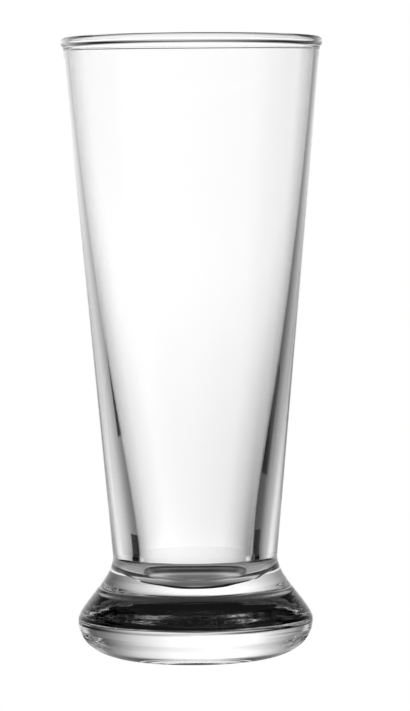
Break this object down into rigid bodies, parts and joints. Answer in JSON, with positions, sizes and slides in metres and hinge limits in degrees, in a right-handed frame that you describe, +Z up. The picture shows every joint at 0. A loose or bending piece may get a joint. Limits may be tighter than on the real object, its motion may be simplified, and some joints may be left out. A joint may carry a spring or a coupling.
{
  "type": "footed tumbler",
  "caption": "Tall tapered drinking glass in clear glass, with a beaded rim, a thick bottom and a heavy flared foot fused on at the waist.",
  "frame": {"origin": "centre of the flat standing ring under the foot, on the surface that the glass stands on", "axes": "+Z up along the axis that the glass is turned about; X and Y are free, because the glass is round"},
  "size_m": [0.0794, 0.0794, 0.188],
  "materials": {
    "clear_glass": "clear, fire polished"
  },
  "bodies": {
    "root": {"bowl": "clear_glass", "foot": "clear_glass"}
  },
  "joints": []
}
